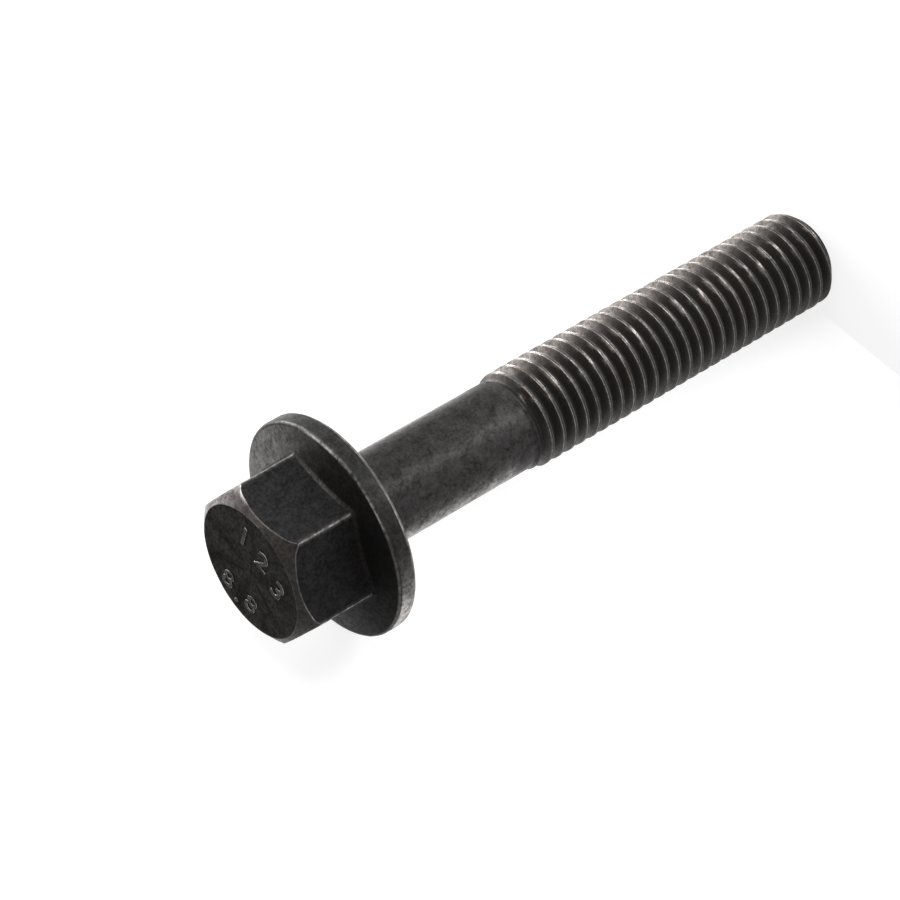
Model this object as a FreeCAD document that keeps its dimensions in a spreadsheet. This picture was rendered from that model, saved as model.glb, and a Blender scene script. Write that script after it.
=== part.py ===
"""Cylinder head bolt: hexagon head and flange forged in one piece with the shank, thread rolled to the tip.

The bolt is drawn upright with its bearing face on the XY plane, then raised to stand on the flat of its
tip, head up. All lengths are in millimetres and all angles in degrees.
"""

import FreeCAD, Part
import math
import os

import Sketcher

# Driving sizes: name, value, what it is.
SIZES = (
    ("across_flats", 17.0, "hexagon, flat to flat"),
    ("head_height", 12.3, "bearing face to end face"),
    ("face_circle_diameter", 15.9, "flat circle of the end face inside the chamfer"),
    ("corner_chamfer_angle", 39.0, "chamfer cone over the hexagon corners, from the end face"),
    ("flange_diameter", 25.8, "outside of the flange"),
    ("flange_rim_thickness", 2.5, "bearing face to front edge, at the rim"),
    ("flange_slope", 13.0, "rise of the flange's front towards the hexagon"),
    ("flange_front_bevel", 0.35, "broken edge, front of the rim"),
    ("flange_back_bevel", 0.45, "broken edge, bearing side of the rim"),
    ("hex_root_fillet", 0.5, "radius where the hexagon runs into the flange"),
    ("underhead_fillet", 0.8, "radius between bearing face and shank"),
    ("bolt_length", 70.0, "bearing face to tip"),
    ("shank_diameter", 10.85, "plain shank, about the pitch diameter of the thread"),
    ("plain_length", 22.5, "bearing face to the start of the thread's run-out"),
    ("runout_length", 1.9, "cone from the plain shank up to the thread"),
    ("thread_diameter", 11.9, "over the thread's crests, metric coarse 12 with 1.75 pitch"),
    ("point_diameter", 9.8, "flat of the tip, just under the thread's root"),
    ("point_length", 1.05, "chamfer of the tip, along the bolt"),
)


def make_size_sheet(document):
    """Put the driving sizes into a spreadsheet, one alias each."""
    sheet = document.addObject("Spreadsheet::Sheet", "Sizes")
    for row, (name, value, meaning) in enumerate(SIZES, start=1):
        sheet.set(f"A{row}", name)
        sheet.set(f"B{row}", str(value))
        sheet.set(f"C{row}", meaning)
        sheet.setAlias(f"B{row}", name)
    document.recompute()
    return sheet


def new_sketch(body, name, plane_role):
    """Add a sketch to the body, on one of its own origin planes."""
    sketch = body.newObject("Sketcher::SketchObject", name)
    plane = next(item for item in body.Origin.OriginFeatures if item.Role == plane_role)
    sketch.AttachmentSupport = [(plane, "")]
    sketch.MapMode = "FlatFace"
    return sketch


def add_loop(sketch, corners, closed=True):
    """Draw straight lines through the corners and join their ends; return the lines' numbers."""
    ends = corners[1:] + corners[:1] if closed else corners[1:]
    lines = [
        sketch.addGeometry(Part.LineSegment(FreeCAD.Vector(*start, 0), FreeCAD.Vector(*end, 0)))
        for start, end in zip(corners, ends)
    ]
    for line, following in zip(lines, lines[1:] + lines[:1] if closed else lines[1:]):
        sketch.addConstraint(Sketcher.Constraint("Coincident", line, END, following, START))
    return lines


def dimension(sketch, name, expression, kind, *places):
    """Add a dimension called name and bind it to an expression over the size sheet."""
    number = sketch.addConstraint(Sketcher.Constraint(kind, *places, 1.0))
    sketch.renameConstraint(number, name)
    sketch.setExpression(f"Constraints.{name}", expression)


# Numbers by which a sketch knows the points of a line or arc, its own origin and its two axes.
START, END, CENTRE = range(1, 4)
LEVEL_AXIS, UPRIGHT_AXIS = range(-1, -3, -1)
ORIGIN = (LEVEL_AXIS, START)

# Width of the flange left between a hexagon corner and the front bevel, and the most of it a fillet takes.
LEDGE = "(Sizes.flange_diameter / 2 - Sizes.flange_front_bevel - Sizes.across_flats / sqrt(3))"
LEDGE_SHARE = 0.8


def draw_blank(body, size):
    """Half section of the flange, shank and thread, turned about the bolt's axis."""
    sketch = new_sketch(body, "BlankSection", "XZ_Plane")
    rim = size.flange_diameter / 2
    shank = size.shank_diameter / 2
    thread = size.thread_diameter / 2
    slope = math.tan(math.radians(size.flange_slope))
    front, back, under = size.flange_front_bevel, size.flange_back_bevel, size.underhead_fillet
    apex = (0, size.flange_rim_thickness + rim * slope)
    head_side = [
        apex,
        (rim - front, size.flange_rim_thickness + front * slope),
        (rim, size.flange_rim_thickness - front),
        (rim, back),
        (rim - back, 0),
        (shank + under, 0),
    ]
    shank_side = [
        (shank, -under),
        (shank, -size.plain_length),
        (thread, -size.plain_length - size.runout_length),
        (thread, -size.bolt_length + size.point_length),
        (size.point_diameter / 2, -size.bolt_length),
        (0, -size.bolt_length),
        apex,
    ]
    slope_line, front_line, rim_line, back_line, bearing_line = add_loop(sketch, head_side, closed=False)
    plain_line, runout_line, thread_line, point_line, tip_line, axis_line = add_loop(
        sketch, shank_side, closed=False
    )
    fillet = sketch.addGeometry(
        Part.ArcOfCircle(
            Part.Circle(FreeCAD.Vector(shank + under, -under, 0), FreeCAD.Vector(0, 0, 1), under),
            math.pi / 2,
            math.pi,
        )
    )
    for rule in (
        ("Coincident", axis_line, END, slope_line, START),
        ("Tangent", bearing_line, END, fillet, START),
        ("Tangent", fillet, END, plain_line, START),
        ("PointOnObject", axis_line, START, UPRIGHT_AXIS),
        ("PointOnObject", axis_line, END, UPRIGHT_AXIS),
        ("PointOnObject", bearing_line, START, LEVEL_AXIS),
        ("Horizontal", bearing_line),
        ("Horizontal", tip_line),
        ("Vertical", rim_line),
        ("Vertical", plain_line),
        ("Vertical", thread_line),
    ):
        sketch.addConstraint(Sketcher.Constraint(*rule))
    dimension(sketch, "rim_radius", "Sizes.flange_diameter / 2", "DistanceX", *ORIGIN, rim_line, START)
    dimension(sketch, "front_bevel_width", "Sizes.flange_front_bevel",
              "DistanceX", front_line, START, front_line, END)
    dimension(sketch, "front_bevel_height", "Sizes.flange_rim_thickness - Sizes.flange_front_bevel",
              "DistanceY", *ORIGIN, front_line, END)
    dimension(sketch, "slope_end_height",
              "Sizes.flange_rim_thickness + Sizes.flange_front_bevel * tan(Sizes.flange_slope * 1 deg)",
              "DistanceY", *ORIGIN, slope_line, END)
    dimension(sketch, "apex_height",
              "Sizes.flange_rim_thickness + Sizes.flange_diameter / 2 * tan(Sizes.flange_slope * 1 deg)",
              "DistanceY", *ORIGIN, slope_line, START)
    dimension(sketch, "back_bevel_width", "Sizes.flange_back_bevel",
              "DistanceX", back_line, END, back_line, START)
    dimension(sketch, "back_bevel_height", "Sizes.flange_back_bevel", "DistanceY", *ORIGIN, back_line, START)
    dimension(sketch, "fillet_radius", "Sizes.underhead_fillet", "Radius", fillet)
    dimension(sketch, "shank_radius", "Sizes.shank_diameter / 2", "DistanceX", *ORIGIN, plain_line, START)
    dimension(sketch, "plain_depth", "Sizes.plain_length", "DistanceY", plain_line, END, *ORIGIN)
    dimension(sketch, "runout_depth", "Sizes.runout_length", "DistanceY", runout_line, END, runout_line, START)
    dimension(sketch, "thread_radius", "Sizes.thread_diameter / 2",
              "DistanceX", *ORIGIN, thread_line, START)
    dimension(sketch, "point_height", "Sizes.point_length", "DistanceY", point_line, END, point_line, START)
    dimension(sketch, "point_radius", "Sizes.point_diameter / 2", "DistanceX", *ORIGIN, point_line, END)
    dimension(sketch, "tip_depth", "Sizes.bolt_length", "DistanceY", point_line, END, *ORIGIN)
    return sketch


def draw_hexagon(body, size):
    """Hexagon of the head, seen along the bolt, with one corner on the Y axis."""
    sketch = new_sketch(body, "HexagonSection", "XY_Plane")
    corner_radius = size.across_flats / math.sqrt(3)
    turns = [math.radians(90 + 60 * side) for side in range(6)]
    sides = add_loop(sketch, [(corner_radius * math.cos(a), corner_radius * math.sin(a)) for a in turns])
    guide = sketch.addGeometry(
        Part.Circle(FreeCAD.Vector(0, 0, 0), FreeCAD.Vector(0, 0, 1), corner_radius), True
    )
    sketch.addConstraint(Sketcher.Constraint("Coincident", guide, CENTRE, *ORIGIN))
    sketch.addConstraint(Sketcher.Constraint("PointOnObject", sides[0], START, UPRIGHT_AXIS))
    for side in sides:
        sketch.addConstraint(Sketcher.Constraint("PointOnObject", side, START, guide))
    for side in sides[1:]:
        sketch.addConstraint(Sketcher.Constraint("Equal", sides[0], side))
    dimension(sketch, "corner_radius", "Sizes.across_flats / sqrt(3)", "Radius", guide)
    return sketch


def draw_chamfer(body, size):
    """Triangle that, turned about the axis, takes the hexagon's corners off in a cone."""
    sketch = new_sketch(body, "ChamferSection", "XZ_Plane")
    face = size.face_circle_diameter / 2
    outside = size.flange_diameter / 2
    drop = (outside - face) * math.tan(math.radians(size.corner_chamfer_angle))
    corners = [(face, size.head_height), (outside, size.head_height), (outside, size.head_height - drop)]
    top_line, outer_line, cone_line = add_loop(sketch, corners)
    sketch.addConstraint(Sketcher.Constraint("Horizontal", top_line))
    sketch.addConstraint(Sketcher.Constraint("Vertical", outer_line))
    dimension(sketch, "face_radius", "Sizes.face_circle_diameter / 2", "DistanceX", *ORIGIN, top_line, START)
    dimension(sketch, "face_height", "Sizes.head_height", "DistanceY", *ORIGIN, top_line, START)
    dimension(sketch, "outer_radius", "Sizes.flange_diameter / 2", "DistanceX", *ORIGIN, outer_line, START)
    dimension(sketch, "cone_drop",
              "(Sizes.flange_diameter - Sizes.face_circle_diameter) / 2"
              " * tan(Sizes.corner_chamfer_angle * 1 deg)",
              "DistanceY", outer_line, END, outer_line, START)
    return sketch


def hexagon_root_edges(shape, size):
    """Names of the six curved edges where the hexagon's sides meet the slope of the flange."""
    corner_radius = size.across_flats / math.sqrt(3)
    names = []
    for number, edge in enumerate(shape.Edges, start=1):
        ends = [vertex.Point for vertex in edge.Vertexes]
        radii = [math.hypot(point.x, point.y) for point in ends]
        low = all(0 < point.z < size.head_height / 2 for point in ends)
        on_corners = all(math.isclose(radius, corner_radius, abs_tol=1e-4) for radius in radii)
        level = len(ends) == 2 and math.isclose(ends[0].z, ends[1].z, abs_tol=1e-4)
        if low and on_corners and level:
            names.append(f"Edge{number}")
    return names


def build_bolt(document, size):
    """Make the bolt's body: turned blank, hexagon, corner chamfer and root fillet."""
    body = document.addObject("PartDesign::Body", "Bolt")
    body.Label = "cylinder_head_bolt"
    document.recompute()

    blank = body.newObject("PartDesign::Revolution", "Blank")
    blank.Profile = draw_blank(body, size)
    blank.ReferenceAxis = (blank.Profile[0], ["V_Axis"])
    blank.Angle = 360
    document.recompute()

    hexagon = body.newObject("PartDesign::Pad", "Hexagon")
    hexagon.Profile = draw_hexagon(body, size)
    hexagon.setExpression("Length", "Sizes.head_height")
    document.recompute()

    chamfer = body.newObject("PartDesign::Groove", "CornerChamfer")
    chamfer.Profile = draw_chamfer(body, size)
    chamfer.ReferenceAxis = (chamfer.Profile[0], ["V_Axis"])
    chamfer.Angle = 360
    document.recompute()
    if chamfer.Shape.Volume >= hexagon.Shape.Volume:
        raise RuntimeError("the chamfer takes nothing off the hexagon")

    fillet = body.newObject("PartDesign::Fillet", "HexagonRoot")
    fillet.Base = (chamfer, hexagon_root_edges(chamfer.Shape, size))
    fillet.setExpression("Radius", f"min(Sizes.hex_root_fillet; {LEDGE_SHARE} * {LEDGE})")
    document.recompute()
    return body


def stand_up(body):
    """Raise the bolt until the flat of its tip is at height 0."""
    body.setExpression("Placement.Base.z", "Sizes.bolt_length")


def check_document(document, bodies):
    """Stop if any object has failed or any part has no valid solid."""
    for item in document.Objects:
        if "Invalid" in item.State or "Error" in item.State:
            raise RuntimeError(f"{item.Name} failed: {item.State}")
    for body in bodies:
        if body.Shape.isNull() or not body.Shape.isValid() or len(body.Shape.Solids) != 1:
            raise RuntimeError(f"{body.Label} isn't one valid solid")


def main():
    """Build the bolt and write one STEP file for it."""
    document = FreeCAD.newDocument("CylinderHeadBolt")
    size = make_size_sheet(document)
    bolt = build_bolt(document, size)
    stand_up(bolt)
    document.recompute()
    check_document(document, [bolt])
    os.makedirs("parts", exist_ok=True)
    bolt.Shape.exportStep(os.path.join("parts", f"{bolt.Label}.step"))
    bounds = bolt.Shape.BoundBox
    print(f"{bolt.Label}: {bolt.Shape.Volume:.1f} mm3, {len(bolt.Shape.Faces)} faces, {bounds}")


main()
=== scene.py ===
"""Cylinder head bolt: black hexagon flange bolt with a rolled coarse thread, standing on its tip.

Sizes are in millimetres and angles in degrees until a mesh is placed; Blender works in metres.
"""

import logging
import math
from dataclasses import dataclass, field
from enum import Enum
from functools import partial
from typing import Callable

import bmesh
import bpy
from mathutils import Matrix, Vector, noise


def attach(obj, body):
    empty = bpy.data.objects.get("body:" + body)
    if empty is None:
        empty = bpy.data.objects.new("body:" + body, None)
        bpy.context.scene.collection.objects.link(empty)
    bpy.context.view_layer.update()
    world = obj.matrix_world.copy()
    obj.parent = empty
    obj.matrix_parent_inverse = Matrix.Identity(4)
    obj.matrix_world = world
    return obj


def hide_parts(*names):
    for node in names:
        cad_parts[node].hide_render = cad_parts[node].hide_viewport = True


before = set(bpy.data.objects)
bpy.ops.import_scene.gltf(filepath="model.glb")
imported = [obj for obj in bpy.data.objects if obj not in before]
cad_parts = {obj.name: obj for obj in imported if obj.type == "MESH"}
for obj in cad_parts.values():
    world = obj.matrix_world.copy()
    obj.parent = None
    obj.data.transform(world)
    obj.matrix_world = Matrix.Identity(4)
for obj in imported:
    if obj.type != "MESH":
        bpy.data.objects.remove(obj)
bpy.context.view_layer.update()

LOG = logging.getLogger("bolt")
MM = 0.001
BODY = "root"
NODE = "cylinder_head_bolt"
SHARP_FROM = 34.0
Place = Callable[[float], tuple[float, float]]
Amount = float | Callable[[float, float], float]
Colour = tuple[float, float, float]
Ring = list[bmesh.types.BMVert]
Source = float | bpy.types.NodeSocket
Inputs = dict[str | int, object]


class Zone(Enum):
    """The areas of the bolt that carry a finish of their own."""

    FACE = 0
    CHAMFER = 1
    FLATS = 2
    FLANGE = 3
    RIM = 4
    SHANK = 5
    THREAD = 6


def smooth_step(low: float, high: float, value: float) -> float:
    """Ease from 0 at low to 1 at high.

    Args:
        low: value that gives 0.
        high: value that gives 1; it may be below low.
        value: the place between them.

    Returns:
        The eased share, 0 to 1.
    """
    share = min(max((value - low) / (high - low), 0.0), 1.0)
    return share * share * (3 - 2 * share)


def bump(middle: float, reach: float, angle: float) -> float:
    """Ease up to 1 at one angle and back to 0 within reach on both sides.

    Args:
        middle: angle of the peak, in degrees.
        reach: degrees from the peak to 0.
        angle: the place, in radians.

    Returns:
        The share, 0 to 1.
    """
    off = abs((math.degrees(angle) - middle + 180) % 360 - 180)
    return smooth_step(reach, 0, off)


@dataclass(frozen=True)
class BoltSizes:
    """Sizes of the bolt, as the solid has them."""

    across_flats: float = 17.0
    head_height: float = 12.3
    face_radius: float = 7.95
    chamfer_angle: float = 39.0
    corner_rounding: float = 0.3
    rim_radius: float = 12.9
    rim_thickness: float = 2.5
    flange_slope: float = 13.0
    front_bevel: float = 0.35
    back_bevel: float = 0.45
    bolt_length: float = 70.0
    shank_radius: float = 5.425
    under_head_fillet: float = 0.8
    plain_length: float = 22.5

    @property
    def corner_radius(self) -> float:
        """Half of the width across the hexagon's sharp corners."""
        return self.across_flats / math.sqrt(3)

    @property
    def top(self) -> float:
        """Height of the end face over the floor."""
        return self.bolt_length + self.head_height

    @property
    def shank_end(self) -> float:
        """Height where the plain shank ends and the thread starts to run out."""
        return self.bolt_length - self.plain_length

    def hexagon_radius(self, angle: float) -> float:
        """Radius of the hexagon with its rounded corners, at an angle in radians."""
        half, sixth = self.across_flats / 2, math.pi / 3
        from_flat = abs((angle + sixth / 2) % sixth - sixth / 2)
        inner = half - self.corner_rounding
        if from_flat <= math.atan(inner * math.tan(sixth / 2) / half):
            return half / math.cos(from_flat)
        centre, off = inner / math.cos(sixth / 2), sixth / 2 - from_flat
        across = centre * math.sin(off)
        return centre * math.cos(off) + math.sqrt(self.corner_rounding**2 - across**2)

    def chamfer_height(self, radius: float) -> float:
        """Height of the corner chamfer's cone at a radius."""
        return self.top - (radius - self.face_radius) * math.tan(math.radians(self.chamfer_angle))

    def slope_height(self, radius: float) -> float:
        """Height of the flange's sloped front at a radius."""
        rise = (self.rim_radius - radius) * math.tan(math.radians(self.flange_slope))
        return self.bolt_length + self.rim_thickness + rise


@dataclass
class Forging:
    """The bolt's growing mesh, with two values for each point: how bright it is, from rubbing and
    painted highlights, and how dark it is, from dirt and painted shade.
    """

    mesh: bmesh.types.BMesh = field(default_factory=bmesh.new)

    def __post_init__(self) -> None:
        """Add the two values that the finishes read."""
        self.wear_and_sheen = self.mesh.verts.layers.float.new("wear_and_sheen")
        self.soot_and_shade = self.mesh.verts.layers.float.new("soot_and_shade")

    def loop_edges(self, ring: Ring) -> list[bmesh.types.BMEdge]:
        """Edges that join the points of one ring.

        Args:
            ring: the ring's points.

        Returns:
            The ring's edges.
        """
        members = set(ring)
        return list({e for v in members for e in v.link_edges if e.other_vert(v) in members})

    def grow(
        self, ring: Ring, place: Place, zone: Zone, wear_and_sheen: Amount = 0.0, soot_and_shade: Amount = 0.0
    ) -> Ring:
        """Extrude a ring and set each new point by its angle round the axis.

        Args:
            ring: the open ring to grow from.
            place: gives radius and height for an angle in radians.
            zone: finish of the new faces.
            wear_and_sheen: how bright the new points are from rubbing and painted highlights, 0 to
                1, or that by angle and radius.
            soot_and_shade: how dark the new points are from dirt and painted shade, 0 to 1, or that
                by angle and radius.

        Returns:
            The new ring.
        """
        made = bmesh.ops.extrude_edge_only(self.mesh, edges=self.loop_edges(ring))["geom"]
        fresh = [item for item in made if isinstance(item, bmesh.types.BMVert)]
        for vert in fresh:
            angle = math.atan2(vert.co.y, vert.co.x)
            radius, height = place(angle)
            vert.co = Vector((radius * math.cos(angle), radius * math.sin(angle), height))
            vert[self.wear_and_sheen] = wear_and_sheen(angle, radius) if callable(wear_and_sheen) else wear_and_sheen
            vert[self.soot_and_shade] = soot_and_shade(angle, radius) if callable(soot_and_shade) else soot_and_shade
        for face in {face for vert in fresh for face in vert.link_faces}:
            face.material_index = zone.value
        return fresh


@dataclass
class HexHead:
    """Hexagon with rounded corners, cone-chamfered towards a flat end face.

    The edge between chamfer and flats is broken. Its middle lies in and down from the sharp edge
    by shares of its size, edge_in and edge_down. A narrow lip runs round the end face.
    """

    size: BoltSizes
    edge: float = 0.13
    edge_in: float = 0.23
    edge_down: float = 0.11
    corner_knock: float = 0.3
    side_cuts: int = 25
    corner_steps: int = 4
    cone_inset: float = 0.78
    cone_shares: tuple[float, ...] = (0.25, 0.5, 0.75)
    face_lip: float = 0.07
    face_drop: float = 0.016
    face_inset: float = 0.09
    face_shares: tuple[float, ...] = (0.93, 0.84, 0.72, 0.6, 0.48, 0.36, 0.24, 0.12)
    wall_rows: int = 7
    foot: float = 0.5
    foot_rise: float = 0.8
    foot_turns: tuple[float, ...] = (20.0, 42.0, 62.0)

    def outline(self, forging: Forging) -> Ring:
        """Make the rounded hexagon that the head grows from, at the top edge of its flats.

        Args:
            forging: mesh to add to.

        Returns:
            The outline's points.
        """
        bm = forging.mesh
        ring = bmesh.ops.create_circle(bm, segments=6, radius=self.size.corner_radius)["verts"]
        bmesh.ops.bevel(
            bm, geom=ring, offset=self.size.corner_rounding * math.tan(math.radians(30)),
            segments=self.corner_steps, profile=0.5,
            affect="VERTICES", offset_type="OFFSET", material=-1,
        )
        sides = [edge for edge in bm.edges if edge.calc_length() > self.size.across_flats / 4]
        bmesh.ops.subdivide_edges(bm, edges=sides, cuts=self.side_cuts)
        return list(bm.verts)

    def build(self, forging: Forging) -> Ring:
        """Build the end face, chamfer and flats.

        Args:
            forging: mesh to add to.

        Returns:
            The open ring at the foot of the flats.
        """
        start = self.outline(forging)
        for vert in start:
            inward = 1 - self.edge_in * self.edge / vert.co.xy.length
            angle = math.atan2(vert.co.y, vert.co.x)
            height = self.arc_height(angle) - self.edge_down * self.edge
            vert.co = Vector((vert.co.x * inward, vert.co.y * inward, height))
            vert[forging.wear_and_sheen] = self.arc_wear(angle)
        self.close_top(forging, start)
        ring = forging.grow(
            start, lambda a: (self.size.hexagon_radius(a), self.arc_height(a) - self.edge),
            Zone.FLATS, wear_and_sheen=self.corner_wear,
        )
        # Towards their foot the flats darken on one side of the bolt: painted shade.
        for row in range(1, self.wall_rows + 1):
            share = row / self.wall_rows
            ring = forging.grow(
                ring, partial(self.wall_place, share), Zone.FLATS, wear_and_sheen=self.corner_wear,
                soot_and_shade=lambda a, r, deep=share: 0.7 * deep * bump(-60, 56, a),
            )
        for turn in self.foot_turns:
            ring = forging.grow(
                ring, partial(self.foot_place, turn), Zone.FLANGE, self.foot_wear_and_sheen, front_painted_shade
            )
        return ring

    def close_top(self, forging: Forging, start: Ring) -> None:
        """Grow the chamfer and the end face.

        Args:
            forging: mesh to add to.
            start: the outline at the top edge of the flats.
        """
        size, face = self.size, self.size.face_radius
        lean = math.radians(size.chamfer_angle)
        inset, lift = self.edge * math.cos(lean), self.edge * math.sin(lean)
        ring = forging.grow(
            start, lambda a: (size.hexagon_radius(a) - inset, self.arc_height(a) + lift),
            Zone.CHAMFER, wear_and_sheen=lambda a, r: max(self.cone_wear_and_sheen(a, r), bump(24, 12, a)),
        )
        for share in self.cone_shares:
            ring = forging.grow(
                ring, partial(self.cone_place, share), Zone.CHAMFER, self.cone_wear_and_sheen, self.cone_painted_shade
            )
        lip = face + self.face_lip
        ring = forging.grow(
            ring, lambda a: (lip, size.chamfer_height(lip)),
            Zone.CHAMFER, self.cone_wear_and_sheen, self.cone_painted_shade,
        )
        ring = forging.grow(
            ring, lambda a: (face, size.top - self.face_drop),
            Zone.CHAMFER, wear_and_sheen=lambda a, r: 0.25 + 0.7 * self.cone_wear_and_sheen(a, r),
        )
        ring = forging.grow(ring, lambda a: (face - self.face_inset, size.top), Zone.FACE)
        for share in self.face_shares:
            ring = forging.grow(
                ring, lambda a, r=face * share: (r, size.top), Zone.FACE, soot_and_shade=self.face_soot
            )
        bmesh.ops.pointmerge(forging.mesh, verts=ring, merge_co=Vector((0, 0, size.top)))

    def off_corner(self, angle: float) -> float:
        """Degrees from the hexagon's nearest corner."""
        return abs(math.degrees(angle) % 60 - 30)

    def arc_height(self, angle: float) -> float:
        """Height of the chamfer's lower edge, which is knocked a little lower at the corners."""
        sharp = self.size.chamfer_height(self.size.hexagon_radius(angle))
        return sharp - self.corner_knock * smooth_step(4.5, 0.5, self.off_corner(angle))

    def foot_height(self, radius: float) -> float:
        """Height where a flat ends and the fillet at its foot starts."""
        return self.size.slope_height(radius) + self.foot * self.foot_rise

    def arc_wear(self, angle: float) -> float:
        """Wear along the arcs where the chamfer meets the flats, each rubbed in its own places."""
        spots = 0.6 * bump(24, 12, angle) + 0.3 * bump(-30, 6, angle)
        spots += 0.35 * bump(-80, 12, angle)
        return min(0.5 + spots, 1.0)

    def cone_wear_and_sheen(self, angle: float, radius: float) -> float:
        """Brightness of the chamfer: a little rubbing all round, with a painted highlight on one
        side of the bolt and a fainter one beside it.
        """
        return 0.04 + 0.2 * bump(4, 40, angle) + 0.8 * bump(62, 56, angle)

    def cone_painted_shade(self, angle: float, radius: float) -> float:
        """Painted shade on one side of the chamfer."""
        return 0.5 * bump(-84, 34, angle)

    def corner_wear(self, angle: float, radius: float) -> float:
        """Wear along the upright corners of the hexagon, on their rounding alone."""
        return 0.72 * smooth_step(1.5, 0.1, self.off_corner(angle))

    def foot_wear_and_sheen(self, angle: float, radius: float) -> float:
        """Brightness of the fillet at the hexagon's foot: a little rubbing all round and a painted
        highlight on one side.
        """
        return 0.1 + 0.22 * bump(2, 40, angle)

    def face_soot(self, angle: float, radius: float) -> float:
        """Dark streaks that run out from the middle of the end face."""
        spot = Vector((3.2 * math.cos(angle), 3.2 * math.sin(angle), 0.12 * radius))
        return min(max(0.12 + 0.6 * noise.noise(spot), 0.0), 0.6)

    def cone_place(self, share: float, angle: float) -> tuple[float, float]:
        """Radius and height on the chamfer, a share of the way from the outline to the face."""
        outer = self.size.hexagon_radius(angle) - self.edge * self.cone_inset
        radius = outer + (self.size.face_radius + self.face_lip - outer) * share
        return radius, self.size.chamfer_height(radius)

    def wall_place(self, share: float, angle: float) -> tuple[float, float]:
        """Radius and height on a flat, a share of the way down to the fillet at its foot."""
        radius = self.size.hexagon_radius(angle)
        high = self.size.chamfer_height(radius) - self.edge
        return radius, high + (self.foot_height(radius) - high) * share

    def foot_place(self, turn: float, angle: float) -> tuple[float, float]:
        """Radius and height on the fillet at a flat's foot, turned by degrees from the wall."""
        base = self.size.hexagon_radius(angle)
        bend = math.radians(turn)
        out, down = self.foot * (1 - math.cos(bend)), self.foot * math.sin(bend)
        return base + out, self.foot_height(base) - down


def front_painted_shade(angle: float, radius: float) -> float:
    """Painted shade on the flange's front: none on one side of the bolt, near black on the other.
    """
    return 0.97 * bump(-64, 98, angle)


def front_painted_sheen(angle: float, radius: float) -> float:
    """Painted highlight on the flange's front, paler on the side without painted shade."""
    return 0.5 * bump(74, 94, angle)


def near_edge_wear(angle: float, radius: float) -> float:
    """Wear just inside the flange's front edge, where the brighter of its rubbed places spreads."""
    return 0.12 + 0.8 * bump(9, 24, angle)


def edge_wear(angle: float, radius: float) -> float:
    """Wear of the flange's front edge, rubbed bright in two places."""
    return min(0.5 + 0.7 * bump(9, 20, angle) + 0.6 * bump(-35, 13, angle), 1.0)


def rim_painted_reflection(angle: float, radius: float) -> float:
    """Painted reflection round the flange's rim, paler on one side."""
    return bump(-108, 61, angle)


def rim_darkening(angle: float, radius: float) -> float:
    """Darker patch on one side of the flange's rim."""
    return 0.35 * bump(-42, 36, angle)


def back_wear(angle: float, radius: float) -> float:
    """Wear of the flange's back edge."""
    return min(0.45 + 0.5 * bump(-43, 16, angle) + 0.2 * bump(10, 30, angle), 1.0)


@dataclass
class Flange:
    """Sloped flange forged under the hexagon, with a broken edge front and back."""

    size: BoltSizes
    rows: int = 7
    foot_reach: float = 0.42
    lip: float = 0.12

    def build(self, forging: Forging, ring: Ring) -> Ring:
        """Grow the flange from the foot of the hexagon round to the shank.

        Args:
            forging: mesh to add to.
            ring: open ring at the foot of the hexagon.

        Returns:
            The open ring where the shank starts.
        """
        size = self.size
        base, rim = size.bolt_length, size.rim_radius
        edge = rim - size.front_bevel - self.lip
        for row in range(self.rows):
            place = partial(self.slope_place, edge, row / self.rows)
            ring = forging.grow(ring, place, Zone.FLANGE, front_painted_sheen, front_painted_shade)
        front, back = base + size.rim_thickness, base + size.back_bevel
        stations = (
            (edge, size.slope_height(edge), Zone.FLANGE, front_painted_sheen),
            (rim - 0.3, size.slope_height(rim - 0.3) - 0.01, Zone.FLANGE, near_edge_wear),
            (rim - 0.17, size.slope_height(rim - 0.17) - 0.045, Zone.FLANGE, edge_wear),
            (rim - 0.06, front - 0.11, Zone.RIM, 0.4),
            (rim - 0.012, front - 0.25, Zone.RIM, 0.12),
            (rim, front - 0.42, Zone.RIM, rim_painted_reflection),
            *((rim, base + up, Zone.RIM, rim_painted_reflection) for up in (1.75, 1.4, 1.05)),
            (rim, back + 0.14, Zone.RIM, rim_painted_reflection),
            (rim - 0.03, back - 0.02, Zone.RIM, back_wear),
            (rim - 0.22, base + 0.2, Zone.RIM, 0.35),
            (rim - 0.42, base + 0.03, Zone.RIM, 0.5),
            (rim - 0.55, base, Zone.RIM, 0.15),
            (rim - 2.0, base, Zone.RIM, 0.1),
            (rim - 4.0, base, Zone.RIM, 0.1),
            (size.shank_radius + size.under_head_fillet, base, Zone.RIM, 0.0),
        )
        for radius, height, zone, wear_and_sheen in stations:
            soot_and_shade = front_painted_shade if zone is Zone.FLANGE else rim_darkening
            ring = forging.grow(ring, lambda a, r=radius, h=height: (r, h), zone, wear_and_sheen, soot_and_shade)
        for turn in (22.5, 45.0, 67.5, 90.0):
            bend = math.radians(turn)
            radius = size.shank_radius + size.under_head_fillet * (1 - math.sin(bend))
            height = base - size.under_head_fillet * (1 - math.cos(bend))
            ring = forging.grow(ring, lambda a, r=radius, h=height: (r, h), Zone.SHANK, soot_and_shade=0.6)
        return ring

    def slope_place(self, edge: float, share: float, angle: float) -> tuple[float, float]:
        """Radius and height on the sloped front, a share of the way out from the hexagon."""
        start = self.size.hexagon_radius(angle) + self.foot_reach
        radius = start + (edge - start) * share
        return radius, self.size.slope_height(radius)


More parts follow.
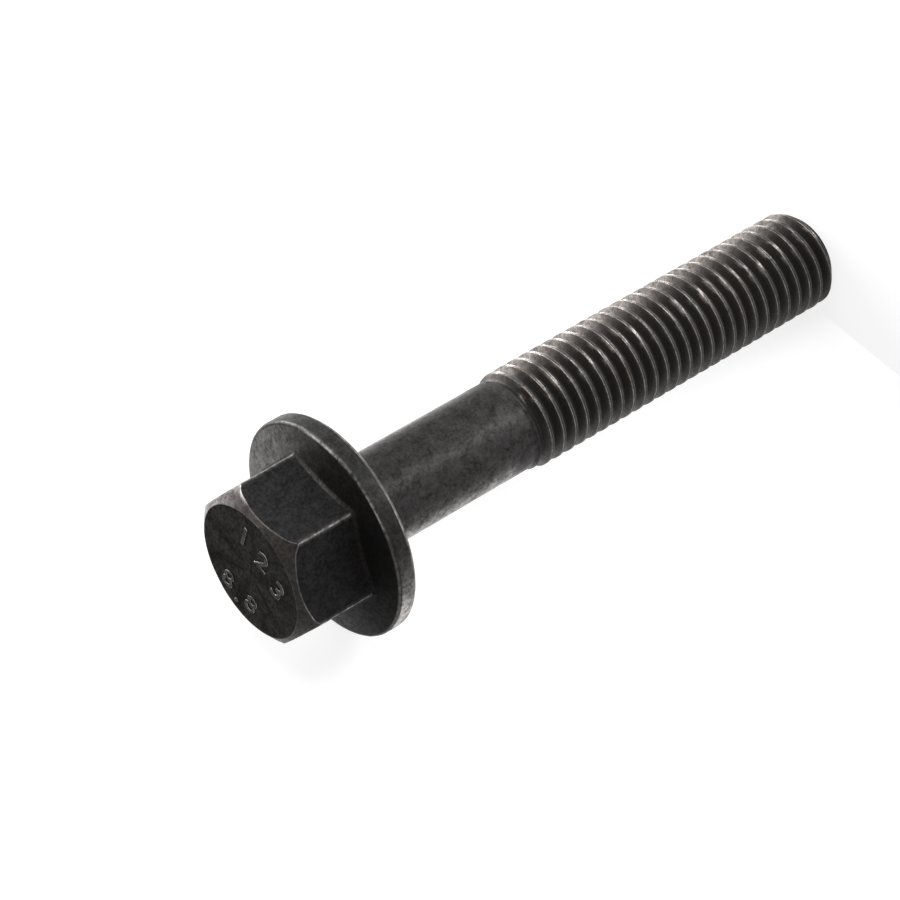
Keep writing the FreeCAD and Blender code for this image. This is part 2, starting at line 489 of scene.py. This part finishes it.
@dataclass
class Shank:
    """Plain shank between the head and the run-out of the thread."""

    size: BoltSizes
    rows: int = 26
    neck: float = 0.5

    def build(self, forging: Forging, ring: Ring) -> Ring:
        """Grow the shank down to just above the thread.

        Args:
            forging: mesh to add to.
            ring: open ring under the head.

        Returns:
            The open ring at the shank's lower end.
        """
        size = self.size
        high = size.bolt_length - size.under_head_fillet
        low = size.shank_end + self.neck
        for row in range(1, self.rows + 1):
            height = high + (low - high) * row / self.rows
            under_head = 0.6 * smooth_step(3.0, 0.0, high - height)
            by_thread = smooth_step(low - 0.3, low + 2.6, height)
            # The shank darkens near the head and in a band on one side; that band is painted shade.
            ring = forging.grow(
                ring, lambda a, h=height: (size.shank_radius, h), Zone.SHANK,
                wear_and_sheen=lambda a, r, left=by_thread: left * self.side_painted_sheen(a),
                soot_and_shade=lambda a, r, least=under_head: max(least, 0.4 * bump(14, 30, a)),
            )
        return ring

    def side_painted_sheen(self, angle: float) -> float:
        """Painted highlights that make the shank paler along two of its sides."""
        return 0.8 * bump(-112, 54, angle) + 0.8 * bump(68, 42, angle)


@dataclass
class RolledThread:
    """Metric coarse thread rolled onto the shank, right hand, with a lap along its crest."""

    size: BoltSizes
    pitch: float = 1.75
    crest_radius: float = 5.95
    root_radius: float = 4.93
    crest_slack: float = 0.01
    waviness: float = 0.018
    steps: int = 96
    phase: float = 0.76
    weld: float = 2e-3
    tip_radius: float = 4.9
    tip_chamfer: float = 1.05
    tip_inset: float = 0.35
    neck: float = 0.25
    shank_finish: float = 1.6

    def profile(self) -> list[tuple[float, float, float, float]]:
        """One pitch of the thread: offset along the axis, height share, brightness from rubbing and
        darkening, which is strongest in the roots.
        """
        slopes = (
            (0.225, 0.92, 0.05, 0.1), (0.42, 0.53, 0.0, 0.35), (0.655, 0.115, 0.0, 0.8),
            (0.715, 0.04, 0.0, 1.0), (0.79, 0.008, 0.0, 1.0),
        )
        tip_side = [(-z, share, wear_and_sheen, soot_and_shade) for z, share, wear_and_sheen, soot_and_shade in reversed(slopes)]
        crest = (
            (-0.185, 0.985, 0.2, 0.0), (-0.15, 1.0, 0.4, 0.0), (-0.085, 0.945, 0.1, 0.3),
            (0.0, 0.93, 0.1, 0.4),
            (0.085, 0.945, 0.15, 0.2), (0.15, 1.0, 1.0, 0.0), (0.185, 0.985, 0.6, 0.0),
        )
        return [*tip_side, *crest, *slopes, (self.pitch / 2, 0.0, 0.0, 1.0)]

    def build(self, forging: Forging, ring: Ring) -> None:
        """Spin the thread, trim it square, chamfer its tip and join it to the shank.

        Args:
            forging: mesh to add to.
            ring: open ring at the lower end of the shank; not used.
        """
        bm = forging.mesh
        top = self.size.shank_end + self.neck
        before = set(bm.verts)
        self.spin_sheet(forging, int(top / self.pitch) + 3)
        bmesh.ops.remove_doubles(bm, verts=self.added(bm, before), dist=self.weld)
        for vert in self.added(bm, before):
            self.shape_point(forging, vert)
        for height, upper in ((0.0, False), (top, True)):
            bmesh.ops.bisect_plane(
                bm, geom=self.touched(bm, before), dist=1e-5,
                plane_co=(0, 0, height), plane_no=(0, 0, 1),
                clear_outer=upper, clear_inner=not upper,
            )
        for face in {face for vert in self.added(bm, before) for face in vert.link_faces}:
            low = face.calc_center_median().z < top - self.shank_finish
            face.material_index = (Zone.THREAD if low else Zone.SHANK).value
        open_edges = [edge for edge in bm.edges if edge.is_boundary]
        tip = [edge for edge in open_edges if edge.verts[0].co.z < top / 2]
        neck = [edge for edge in open_edges if edge.verts[0].co.z > top / 2]
        for face in bmesh.ops.bridge_loops(bm, edges=neck)["faces"]:
            face.material_index = Zone.SHANK.value
        flat = bmesh.ops.edgeloop_fill(bm, edges=tip)["faces"]
        for face in flat:
            face.material_index = Zone.RIM.value
        bmesh.ops.inset_region(
            bm, faces=flat, thickness=self.tip_inset, depth=0.0, use_even_offset=True
        )

    def spin_sheet(self, forging: Forging, turns: int) -> None:
        """Spin the profile by one turn into a sheet of the whole thread.

        The sheet lies round the radius 1, and each point stands off it by its height share.

        Args:
            forging: mesh to add to.
            turns: number of pitches above the floor.
        """
        bm = forging.mesh
        chain: Ring = []
        shape = self.profile()
        for turn in range(-2, turns):
            for offset, share, wear_and_sheen, soot_and_shade in shape:
                height = (turn + self.phase) * self.pitch + offset
                vert = bm.verts.new((1.0 + share, 0, height))
                vert[forging.wear_and_sheen], vert[forging.soot_and_shade] = wear_and_sheen, soot_and_shade
                chain.append(vert)
        edges = [bm.edges.new(pair) for pair in zip(chain, chain[1:])]
        bmesh.ops.spin(
            bm, geom=chain + edges, cent=(0, 0, 0), axis=(0, 0, 1),
            dvec=(0, 0, self.pitch / self.steps), angle=2 * math.pi, steps=self.steps,
        )

    def added(self, bm: bmesh.types.BMesh, before: set[bmesh.types.BMVert]) -> Ring:
        """Points of the thread alone, which weren't there before it."""
        return [vert for vert in bm.verts if vert not in before]

    def touched(self, bm: bmesh.types.BMesh, before: set[bmesh.types.BMVert]) -> list:
        """Points, edges and faces of the thread alone."""
        verts = self.added(bm, before)
        edges = {edge for vert in verts for edge in vert.link_edges}
        faces = {face for vert in verts for face in vert.link_faces}
        return verts + list(edges) + list(faces)

    def shape_point(self, forging: Forging, vert: bmesh.types.BMVert) -> None:
        """Move a point of the spun sheet to the thread's real radius.

        Args:
            forging: mesh that holds the point.
            vert: the point, whose radius less one is its height share.
        """
        size = self.size
        share = vert.co.xy.length - 1.0
        angle = math.atan2(vert.co.y, vert.co.x)
        height = vert.co.z
        below = size.shank_end - height
        rise = smooth_step(0.5, 2.6, below)
        sink = smooth_step(0.6, 1.9, below)
        outer = size.shank_radius + (self.crest_radius - size.shank_radius) * rise
        inner = size.shank_radius + (self.root_radius - size.shank_radius) * sink
        rough = noise.noise(Vector((math.cos(angle) * 4, math.sin(angle) * 4, height * 1.3)))
        radius = inner + (outer - inner) * share + self.waviness * rough * share * rise
        cone = self.tip_radius + (self.crest_radius - self.tip_radius) * height / self.tip_chamfer
        if radius > cone:
            vert[forging.wear_and_sheen] *= 0.3
            radius = cone
        radius = min(radius, self.crest_radius + self.crest_slack)
        self.rub_point(forging, vert, share, below)
        vert.co.x, vert.co.y = radius * math.cos(angle), radius * math.sin(angle)

    def rub_point(
        self, forging: Forging, vert: bmesh.types.BMVert, share: float, below: float
    ) -> None:
        """Set how bright a point of the thread is, from rubbing and painted highlights, and how
        dark it is.

        Args:
            forging: mesh that holds the point.
            vert: the point, with the brightness and darkening of the profile.
            share: its height share.
            below: how far it lies below the end of the shank.
        """
        angle = math.atan2(vert.co.y, vert.co.x)
        streak = noise.noise(Vector((2.5 * angle, 7.0 * vert.co.z, 0.0)))
        fade = smooth_step(0.9, 2.3, below)
        # Painted highlights: pale paints a sheen along two sides of the thread, and the glints
        # paint bright dashes on the crests and near the run-out; darkening is taken off where the
        # sheen lies.
        pale = bump(54, 58, angle) + 0.6 * bump(-132, 50, angle)
        painted_glint = 0.0
        if share > 0.9:
            painted_glint = bump(-12, 30, angle) * smooth_step(-0.15, 0.2, streak)
        runout_painted_glint = bump(-14, 24, angle) * smooth_step(1.4, 1.9, below) * smooth_step(3.1, 2.8, below)
        worn_and_sheen = fade * max(vert[forging.wear_and_sheen], pale * (0.85 + 0.1 * share), painted_glint)
        vert[forging.wear_and_sheen] = max(worn_and_sheen, runout_painted_glint * smooth_step(-0.05, 0.3, streak))
        vert[forging.soot_and_shade] *= smooth_step(0.4, 0.9, below)
        vert[forging.soot_and_shade] *= 1 - 0.9 * min(2.2 * pale, 1.0) * min(share * 1.4, 1.0)


@dataclass(frozen=True)
class Mark:
    """One raised numeral or dot on the end face.

    It has its text, the place of its middle, its height and how far it is turned.
    """

    text: str
    x: float
    y: float
    tall: float
    turn: float


@dataclass
class FaceMarks:
    """Plain numerals forged proud of the end face."""

    size: BoltSizes
    proud: float = 0.16
    sunk: float = 0.02
    bevel: float = 0.08
    wobble: float = 0.09
    letter_scale: float = 1.35
    marks: tuple[Mark, ...] = (
        Mark("1", 4.45, 1.45, 3.0, -97.0),
        Mark("2", 3.4, -1.75, 3.0, -104.0),
        Mark("3", 1.5, -4.55, 3.0, -112.0),
        Mark("8", -4.6, 3.2, 2.7, -100.0),
        Mark(".", -5.6, 1.35, 2.7, -104.0),
        Mark("8", -4.9, -0.75, 2.7, -108.0),
    )

    @property
    def half_wall(self) -> float:
        """Half of the depth of a mark's upright wall, without its bevels."""
        return self.proud * 0.45

    def raise_mark(self, mark: Mark) -> bpy.types.Mesh:
        """Make one mark as a mesh in its place.

        Args:
            mark: what to make.

        Returns:
            The mesh.
        """
        curve = bpy.data.curves.new("mark", "FONT")
        curve.body, curve.align_x, curve.align_y = mark.text, "CENTER", "CENTER"
        curve.size, curve.offset = mark.tall * self.letter_scale, -0.03
        curve.extrude, curve.bevel_depth, curve.bevel_resolution = self.half_wall, self.bevel, 2
        maker = bpy.data.objects.new("mark", curve)
        mesh = bpy.data.meshes.new_from_object(maker)
        mesh.transform(Matrix.Translation((mark.x, mark.y, self.size.top - self.sunk))
                       @ Matrix.Rotation(math.radians(mark.turn), 4, "Z"))
        bpy.data.objects.remove(maker)
        bpy.data.curves.remove(curve)
        return mesh

    def build(self) -> bpy.types.Object:
        """Make the numerals as one mesh that stands into the end face.

        Returns:
            The piece.
        """
        bm = bmesh.new()
        for mark in self.marks:
            mesh = self.raise_mark(mark)
            bm.from_mesh(mesh)
            bpy.data.meshes.remove(mesh)
        bmesh.ops.remove_doubles(bm, verts=bm.verts[:], dist=1e-4)
        bmesh.ops.recalc_face_normals(bm, faces=bm.faces[:])
        wear_and_sheen = bm.verts.layers.float.new("wear_and_sheen")
        bm.verts.layers.float.new("soot_and_shade")
        for vert in bm.verts:
            vert.co.x += self.wobble * noise.noise(vert.co * 1.7)
            vert.co.y += self.wobble * noise.noise(vert.co * 1.7 + Vector((7.0, 3.0, 1.0)))
            above = vert.co.z - self.size.top + self.sunk - self.half_wall
            # The marks' edges are made bright, partly rubbed metal and partly painted highlight,
            # while their tops stay dark.
            vert[wear_and_sheen] = smooth_step(0.0, 0.02, above) * smooth_step(0.079, 0.055, above)
        return finish_piece("head_marks", bm, [Finishes.MARKS.value])


@dataclass
class Shading:
    """A node tree, with short ways to add the nodes that the materials are made of."""

    tree: bpy.types.NodeTree

    def feed(self, node: bpy.types.Node, inputs: Inputs) -> None:
        """Set some inputs of a node.

        Args:
            node: the node.
            inputs: by the input's name or number, a value or another node's output.
        """
        for name, value in inputs.items():
            if isinstance(value, bpy.types.NodeSocket):
                self.tree.links.new(value, node.inputs[name])
            else:
                node.inputs[name].default_value = value

    def add(self, kind: str, inputs: Inputs | None = None, **settings: object) -> bpy.types.Node:
        """Add a node.

        Args:
            kind: its type.
            inputs: by the input's name or number, a value or another node's output.
            settings: the node's own settings, made before its inputs are set.

        Returns:
            The node.
        """
        node = self.tree.nodes.new(kind)
        for name, value in settings.items():
            setattr(node, name, value)
        self.feed(node, inputs or {})
        return node

    def maths(self, operation: str, *values: Source, clamp: bool = False) -> bpy.types.NodeSocket:
        """Work something out from numbers and other nodes' outputs.

        Args:
            operation: what to work out.
            values: what it is worked out from, in order.
            clamp: keep the result from 0 to 1.

        Returns:
            The result.
        """
        settings = {"operation": operation, "use_clamp": clamp}
        return self.add("ShaderNodeMath", dict(enumerate(values)), **settings).outputs["Value"]

    def stretch(
        self, value: Source, low: float, high: float, to_low: float = 0.0, to_high: float = 1.0
    ) -> bpy.types.NodeSocket:
        """Stretch a value from one range to another and keep it within that.

        Args:
            value: what to stretch.
            low: value that gives to_low.
            high: value that gives to_high.
            to_low: result at low.
            to_high: result at high.

        Returns:
            The result.
        """
        inputs = {"Value": value, "From Min": low, "From Max": high}
        inputs |= {"To Min": to_low, "To Max": to_high}
        return self.add("ShaderNodeMapRange", inputs).outputs["Result"]

    def blend(self, share: Source, first: object, second: object) -> bpy.types.NodeSocket:
        """Blend two colours.

        Args:
            share: 0 for the first alone, 1 for the second alone.
            first: a colour or a node's output.
            second: a colour or a node's output.

        Returns:
            The blended colour.
        """
        inputs = {"Factor": share, "A": first, "B": second}
        return self.add("ShaderNodeMix", inputs, data_type="RGBA").outputs["Result"]


@dataclass(frozen=True)
class Finish:
    """One finish of blackened steel: colours, gloss, mottling, grain and how it wears, where the
    bare colour also paints highlights and the dirt colour also paints shade.

    Colours are linear red, green and blue. Scales are in features per millimetre.
    """

    name: str
    dark: Colour
    light: Colour
    bare_and_sheen: Colour = (0.5, 0.475, 0.46)
    roughness: float = 0.42
    cloud_scale: float = 0.35
    grain_scale: float = 2.6
    grain_height: float = 0.009
    wear_base: float = 0.0
    soot_and_shade: Colour = (0.003, 0.0022, 0.0018)
    specular: float = 0.5
    bare_metal: float = 0.85
    bare_polish: float = 0.1
    soot_and_shade_dulling: float = 0.35

    def make(self) -> bpy.types.Material:
        """Build the node material.

        Returns:
            The material.
        """
        material = bpy.data.materials.new(self.name)
        material.use_nodes = True
        nodes = Shading(material.node_tree)
        nodes.tree.nodes.clear()
        place = nodes.add("ShaderNodeTexCoord").outputs["Object"]
        mapping = nodes.add("ShaderNodeMapping", {"Vector": place, "Scale": (1 / MM,) * 3})
        in_mm = mapping.outputs["Vector"]
        rubbed = nodes.add("ShaderNodeAttribute", attribute_name="wear_and_sheen").outputs["Fac"]
        dirt_and_shade = nodes.add("ShaderNodeAttribute", attribute_name="soot_and_shade").outputs["Fac"]

        mottle = nodes.add("ShaderNodeGroup", node_tree=ShadeGroups.mottle())
        nodes.feed(mottle, {
            "Vector": in_mm,
            "Dark": (*self.dark, 1),
            "Light": (*self.light, 1),
            "Cloud Scale": self.cloud_scale,
            "Grain Scale": self.grain_scale,
            "Roughness": self.roughness,
        })
        everywhere = nodes.maths("MULTIPLY_ADD", dirt_and_shade, -self.wear_base, self.wear_base)
        worn_and_sheen = nodes.add("ShaderNodeGroup", node_tree=ShadeGroups.worn_edge_and_sheen())
        nodes.feed(worn_and_sheen, {"Vector": in_mm, "Wear": rubbed, "Base": everywhere})
        bare_and_sheen_share = worn_and_sheen.outputs["Mask"]

        # The dirt colour lays dirt and painted shade; the bare colour, through the bright mask,
        # lays rubbed metal and painted highlights.
        dirty_and_shaded = nodes.blend(dirt_and_shade, mottle.outputs["Color"], (*self.soot_and_shade, 1))
        dull = nodes.maths("MULTIPLY_ADD", dirt_and_shade, self.soot_and_shade_dulling, mottle.outputs["Roughness"])
        relief = nodes.add("ShaderNodeBump", {
            "Strength": 1.0, "Distance": self.grain_height * MM, "Height": mottle.outputs["Height"],
        })
        shader = nodes.add("ShaderNodeBsdfPrincipled", {
            "Base Color": nodes.blend(bare_and_sheen_share, dirty_and_shaded, (*self.bare_and_sheen, 1)),
            "Metallic": nodes.maths("MULTIPLY", bare_and_sheen_share, self.bare_metal),
            "Roughness": nodes.maths("MULTIPLY_ADD", bare_and_sheen_share, -self.bare_polish, dull),
            "Specular IOR Level": self.specular,
            "Normal": relief.outputs["Normal"],
        })
        nodes.add("ShaderNodeOutputMaterial", {"Surface": shader.outputs["BSDF"]})
        return material


class ShadeGroups:
    """Shader node groups that every finish shares."""

    @staticmethod
    def group(
        name: str, takes: dict[str, str], gives: dict[str, str]
    ) -> tuple[Shading, bpy.types.Node, bpy.types.Node]:
        """Start a node group with its sockets.

        Args:
            name: the group's name.
            takes: kinds of its inputs, by name.
            gives: kinds of its outputs, by name.

        Returns:
            The group's nodes, its input node and its output node.
        """
        tree = bpy.data.node_groups.new(name, "ShaderNodeTree")
        for sockets, side in ((takes, "INPUT"), (gives, "OUTPUT")):
            for label, kind in sockets.items():
                tree.interface.new_socket(label, in_out=side, socket_type=f"NodeSocket{kind}")
        return Shading(tree), tree.nodes.new("NodeGroupInput"), tree.nodes.new("NodeGroupOutput")

    @classmethod
    def mottle(cls) -> bpy.types.NodeTree:
        """Cloudy phosphate coat: two sizes of noise over colour, gloss and height.

        Returns:
            The group.
        """
        found = bpy.data.node_groups.get("phosphate_mottle")
        if found:
            return found
        nodes, given, out = cls.group(
            "phosphate_mottle",
            {"Vector": "Vector", "Dark": "Color", "Light": "Color",
             "Cloud Scale": "Float", "Grain Scale": "Float", "Roughness": "Float"},
            {"Color": "Color", "Roughness": "Float", "Height": "Float"},
        )
        takes = given.outputs
        cloud = nodes.add("ShaderNodeTexNoise", {
            "Vector": takes["Vector"], "Scale": takes["Cloud Scale"],
            "Detail": 5, "Roughness": 0.62,
        }).outputs["Fac"]
        grain = nodes.add("ShaderNodeTexNoise", {
            "Vector": takes["Vector"], "Scale": takes["Grain Scale"], "Detail": 3,
        }).outputs["Fac"]
        clouds = nodes.stretch(cloud, 0.32, 0.68)
        grains = nodes.stretch(grain, 0.35, 0.65, -0.5, 0.5)
        both = nodes.maths("ADD", clouds, grains, clamp=True)
        shift = nodes.stretch(both, 0.0, 1.0, 0.07, -0.07)
        nodes.feed(out, {
            "Color": nodes.blend(both, takes["Dark"], takes["Light"]),
            "Roughness": nodes.maths("ADD", takes["Roughness"], shift),
            "Height": grain,
        })
        return nodes.tree

    @classmethod
    def worn_edge_and_sheen(cls) -> bpy.types.NodeTree:
        """Where bare metal shows, from rubbing and from painted highlights: the mesh's brightness
        value broken up by noise.

        Returns:
            The group.
        """
        found = bpy.data.node_groups.get("worn_edge_and_sheen")
        if found:
            return found
        nodes, given, out = cls.group(
            "worn_edge_and_sheen", {"Vector": "Vector", "Wear": "Float", "Base": "Float"}, {"Mask": "Float"}
        )
        takes = given.outputs
        patch = nodes.add("ShaderNodeTexNoise", {
            "Vector": takes["Vector"], "Scale": 0.8, "Detail": 5, "Roughness": 0.95,
        }).outputs["Fac"]
        broken = nodes.stretch(patch, 0.34, 0.66, 0.0, 1.5)
        # The Wear input carries painted highlights as well as rubbed edges.
        steep = nodes.maths("POWER", takes["Wear"], 1.6)
        rubbed = nodes.maths("ADD", steep, takes["Base"])
        nodes.feed(out, {"Mask": nodes.maths("MULTIPLY", rubbed, broken, clamp=True)})
        return nodes.tree


class Finishes(Enum):
    """The bolt's finishes, by the zone that wears them."""

    FACE = Finish("face_phosphate", (0.001, 0.0008, 0.0007), (0.024, 0.0212, 0.02),
                  roughness=0.6, cloud_scale=0.9, specular=0.04, wear_base=0.016)
    CHAMFER = Finish("chamfer_worn", (0.001, 0.0007, 0.0006), (0.034, 0.0245, 0.0202),
                     roughness=0.42, cloud_scale=1.3, specular=0.2, wear_base=0.03)
    FLATS = Finish("flats_phosphate", (0.0005, 0.0004, 0.0005), (0.0155, 0.0147, 0.0152),
                   roughness=0.5, cloud_scale=0.85, specular=0.08, wear_base=0.022)
    # The flange's near-black dirt colour is also the colour of its painted shade.
    FLANGE = Finish("flange_phosphate", (0.001, 0.0008, 0.0008), (0.017, 0.0147, 0.0141),
                    roughness=0.42, cloud_scale=0.85, soot_and_shade=(0.0015, 0.0011, 0.0009),
                    specular=0.08, wear_base=0.02)
    RIM = Finish("rim_satin", (0.001, 0.0008, 0.0008), (0.022, 0.0206, 0.0202),
                 roughness=0.38, cloud_scale=0.8, specular=0.14, wear_base=0.02)
    SHANK = Finish("shank_satin", (0.0004, 0.0003, 0.0003), (0.0195, 0.0172, 0.0177),
                   roughness=0.34, cloud_scale=0.85, grain_height=0.004, specular=0.07,
                   wear_base=0.075)
    THREAD = Finish("thread_rolled", (0.003, 0.0017, 0.0013), (0.024, 0.0162, 0.0132),
                    bare_and_sheen=(0.46, 0.42, 0.395), roughness=0.32, grain_height=0.006, specular=0.35,
                    wear_base=0.02)
    MARKS = Finish("mark_tops", (0.002, 0.0018, 0.0017), (0.026, 0.0235, 0.0225),
                   roughness=0.45, specular=0.12)


def finish_piece(name: str, bm: bmesh.types.BMesh, finishes: list[Finish]) -> bpy.types.Object:
    """Turn a mesh in millimetres into a dressed piece in metres and tie it to the frame.

    Args:
        name: the piece's name.
        bm: its mesh, freed here.
        finishes: its finishes, in the order of the faces' material numbers.

    Returns:
        The piece.
    """
    bmesh.ops.scale(bm, vec=(MM, MM, MM), verts=bm.verts[:])
    mesh = bpy.data.meshes.new(name)
    bm.to_mesh(mesh)
    bm.free()
    mesh.shade_smooth()
    mesh.set_sharp_from_angle(angle=math.radians(SHARP_FROM))
    for finish in finishes:
        mesh.materials.append(finish.make())
    piece = bpy.data.objects.new(name, mesh)
    bpy.context.scene.collection.objects.link(piece)
    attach(piece, BODY)
    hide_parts(NODE)
    LOG.info("%s: %d points, %d faces", name, len(mesh.vertices), len(mesh.polygons))
    return piece


@dataclass
class Bolt:
    """The whole bolt: one forging and the numerals that stand on it."""

    size: BoltSizes = field(default_factory=BoltSizes)
    wave_height: float = 0.02
    dent_depth: float = 0.05

    def build(self) -> list[bpy.types.Object]:
        """Build and dress the bolt.

        Returns:
            Its pieces.
        """
        forging = Forging()
        ring = HexHead(self.size).build(forging)
        ring = Flange(self.size).build(forging, ring)
        ring = Shank(self.size).build(forging, ring)
        RolledThread(self.size).build(forging, ring)
        bmesh.ops.recalc_face_normals(forging.mesh, faces=forging.mesh.faces[:])
        self.batter(forging)
        zones = [Finishes[zone.name].value for zone in Zone]
        return [finish_piece("bolt_forging", forging.mesh, zones), FaceMarks(self.size).build()]

    def batter(self, forging: Forging) -> None:
        """Give the forged head its slight waves and its rubbed edges their small dents.

        Args:
            forging: the finished mesh.
        """
        forging.mesh.normal_update()
        for vert in forging.mesh.verts:
            if vert.co.z < self.size.bolt_length + 0.1:
                continue
            wave = self.wave_height * noise.noise(vert.co * 0.28)
            dent = self.dent_depth * noise.noise(vert.co * 1.1) * min(vert[forging.wear_and_sheen], 0.8)
            vert.co += vert.normal * (wave + dent)


@dataclass(frozen=True)
class Table:
    """Directions of the pale card behind the bolt, and its distance from the foot of the bolt.

    The bolt stands to the card as to a table top that it lies on.
    """

    along: Vector = Vector((0.0965926, 0.0064157, -0.9953033))
    across: Vector = Vector((-0.0662739, 0.9978015, 0.0))
    off: Vector = Vector((0.9931151, 0.0659626, 0.0968054))
    gap: float = -5.8204

    def point(self, along: float, across: float, off: float) -> Vector:
        """A point by its distances from the foot of the bolt, along the card and off it.

        Args:
            along: distance towards the tip, in millimetres.
            across: distance to the side.
            off: distance off the card.

        Returns:
            The point, in metres.
        """
        away = self.off * (off + self.gap)
        return (self.along * along + self.across * across + away) * MM


@dataclass
class Studio:
    """Camera, pale floor, pale card, soft lamps and the world."""

    table: Table = field(default_factory=Table)
    lens: float = 125.47
    camera_place: Vector = Vector((260.985, -149.292, 220.431))
    camera_back: Vector = Vector((0.7586227, -0.4361821, 0.4839821))
    paper_grey: float = 0.36
    paper_glow: float = 0.82
    floor_half: float = 900.0
    card_half: float = 300.0
    card_foot: float = 0.566
    world_light: float = 0.2

    def add_camera(self) -> None:
        """Place the camera at the photograph's viewing angle, with the card as its floor."""
        data = bpy.data.cameras.new("camera")
        data.lens, data.sensor_width = self.lens, 36.0
        data.clip_start, data.clip_end = 0.01, 20.0
        camera = bpy.data.objects.new("camera", data)
        right = self.table.off.cross(self.camera_back).normalized()
        up = self.camera_back.cross(right)
        turn = Matrix((right, up, self.camera_back)).transposed().to_4x4()
        camera.matrix_world = Matrix.Translation(self.camera_place * MM) @ turn
        bpy.context.scene.collection.objects.link(camera)
        bpy.context.scene.camera = camera

    def seen_share(self, nodes: Shading) -> bpy.types.NodeSocket:
        """One for what the camera sees, also in a mirror or through glass, zero for other light.

        Args:
            nodes: the nodes to add to.

        Returns:
            The socket with that share.
        """
        rays = nodes.add("ShaderNodeLightPath").outputs
        share = rays["Is Camera Ray"]
        for name in ("Is Glossy Ray", "Is Transmission Ray"):
            share = nodes.maths("MAXIMUM", share, rays[name])
        return share

    def paper(self) -> bpy.types.Material:
        """Pale paper that keeps the soft shadow and isn't seen from behind.

        Returns:
            The material.
        """
        material = bpy.data.materials.new("paper")
        material.use_nodes = True
        nodes = Shading(material.node_tree)
        nodes.tree.nodes.clear()
        diffuse = nodes.add("ShaderNodeBsdfDiffuse", {"Color": (*(self.paper_grey,) * 3, 1)})
        power = nodes.maths("MULTIPLY", self.seen_share(nodes), self.paper_glow)
        glow = nodes.add("ShaderNodeEmission", {"Strength": power})
        both = nodes.add("ShaderNodeAddShader", {
            0: diffuse.outputs["BSDF"], 1: glow.outputs["Emission"],
        })
        behind = nodes.add("ShaderNodeNewGeometry").outputs["Backfacing"]
        seen = nodes.add("ShaderNodeLightPath").outputs["Is Camera Ray"]
        mix = nodes.add("ShaderNodeMixShader", {
            "Fac": nodes.maths("MULTIPLY", behind, seen),
            1: both.outputs["Shader"],
            2: nodes.add("ShaderNodeBsdfTransparent").outputs["BSDF"],
        })
        nodes.add("ShaderNodeOutputMaterial", {"Surface": mix.outputs["Shader"]})
        return material

    def add_sheet(self, name: str, turn: Matrix, paper: bpy.types.Material, half: float) -> None:
        """Add one flat sheet of the stage.

        Args:
            name: the sheet's name.
            turn: its place and directions, in metres.
            paper: its material.
            half: half of its side, in millimetres.
        """
        bm = bmesh.new()
        bmesh.ops.create_grid(bm, x_segments=1, y_segments=1, size=half * MM, matrix=turn)
        mesh = bpy.data.meshes.new(name)
        bm.to_mesh(mesh)
        bm.free()
        mesh.materials.append(paper)
        sheet = bpy.data.objects.new(name, mesh)
        bpy.context.scene.collection.objects.link(sheet)

    def add_lamp(self, name: str, place: Vector, size: float, watts: float) -> None:
        """Add one soft square lamp that faces the middle of the bolt.

        Args:
            name: the lamp's name.
            place: its place, in metres.
            size: its side, in metres.
            watts: its power.
        """
        data = bpy.data.lights.new(name, "AREA")
        data.shape, data.size, data.energy = "SQUARE", size, watts
        lamp = bpy.data.objects.new(name, data)
        aim = Vector((0, 0, 0.05)) - place
        lamp.location = place
        lamp.rotation_mode = "QUATERNION"
        lamp.rotation_quaternion = aim.to_track_quat("-Z", "Y")
        bpy.context.scene.collection.objects.link(lamp)

    def add_strip(
        self, name: str, place: Vector, turn: float, size: tuple[float, float], watts: float
    ) -> None:
        """Add one slim lamp low in front of the bolt that draws the streak along its side.

        Args:
            name: the lamp's name.
            place: its middle, in metres.
            turn: its direction round the upright axis, in radians.
            size: its length and width, in metres.
            watts: its power.
        """
        data = bpy.data.lights.new(name, "AREA")
        data.shape, data.energy = "RECTANGLE", watts
        data.size, data.size_y = size
        lamp = bpy.data.objects.new(name, data)
        lamp.location = place
        lamp.rotation_euler = (math.pi, 0, turn)
        lamp.visible_camera = False
        bpy.context.scene.collection.objects.link(lamp)

    def add_world(self) -> None:
        """Add the plain white world, which lights the bolt less than the camera sees of it."""
        world = bpy.data.worlds.new("studio")
        world.use_nodes = True
        nodes = Shading(world.node_tree)
        level = nodes.stretch(self.seen_share(nodes), 0.0, 1.0, self.world_light, 1.0)
        nodes.feed(nodes.tree.nodes["Background"], {"Color": (1, 1, 1, 1), "Strength": level})
        bpy.context.scene.world = world

    def build(self) -> None:
        """Build the stage, the lamps and the world."""
        paper, card = self.paper(), self.table
        self.add_sheet("floor", Matrix.Identity(4), paper, self.floor_half)
        middle = card.point(-self.card_half - self.card_foot, 0, 0)
        axes = Matrix((-card.along, -card.across, card.off)).transposed().to_4x4()
        self.add_sheet("backdrop_card", Matrix.Translation(middle) @ axes, paper, self.card_half)
        self.add_lamp("lamp_over", card.point(-40, 60, 520), size=0.42, watts=1.7)
        self.add_lamp("lamp_far", card.point(-60, 400, 100), size=0.3, watts=3.0)
        self.add_strip(
            "lamp_streak", Vector((0.1, -0.042, 0.003)), math.radians(-22.5),
            size=(0.15, 0.04), watts=0.135,
        )
        self.add_world()
        bpy.context.scene.view_settings.view_transform = "Standard"


def main() -> None:
    """Build the studio and the bolt."""
    logging.basicConfig(level=logging.INFO, format="%(message)s")
    studio = Studio()
    studio.add_camera()
    Bolt().build()
    studio.build()


if __name__ == "__main__":
    main()
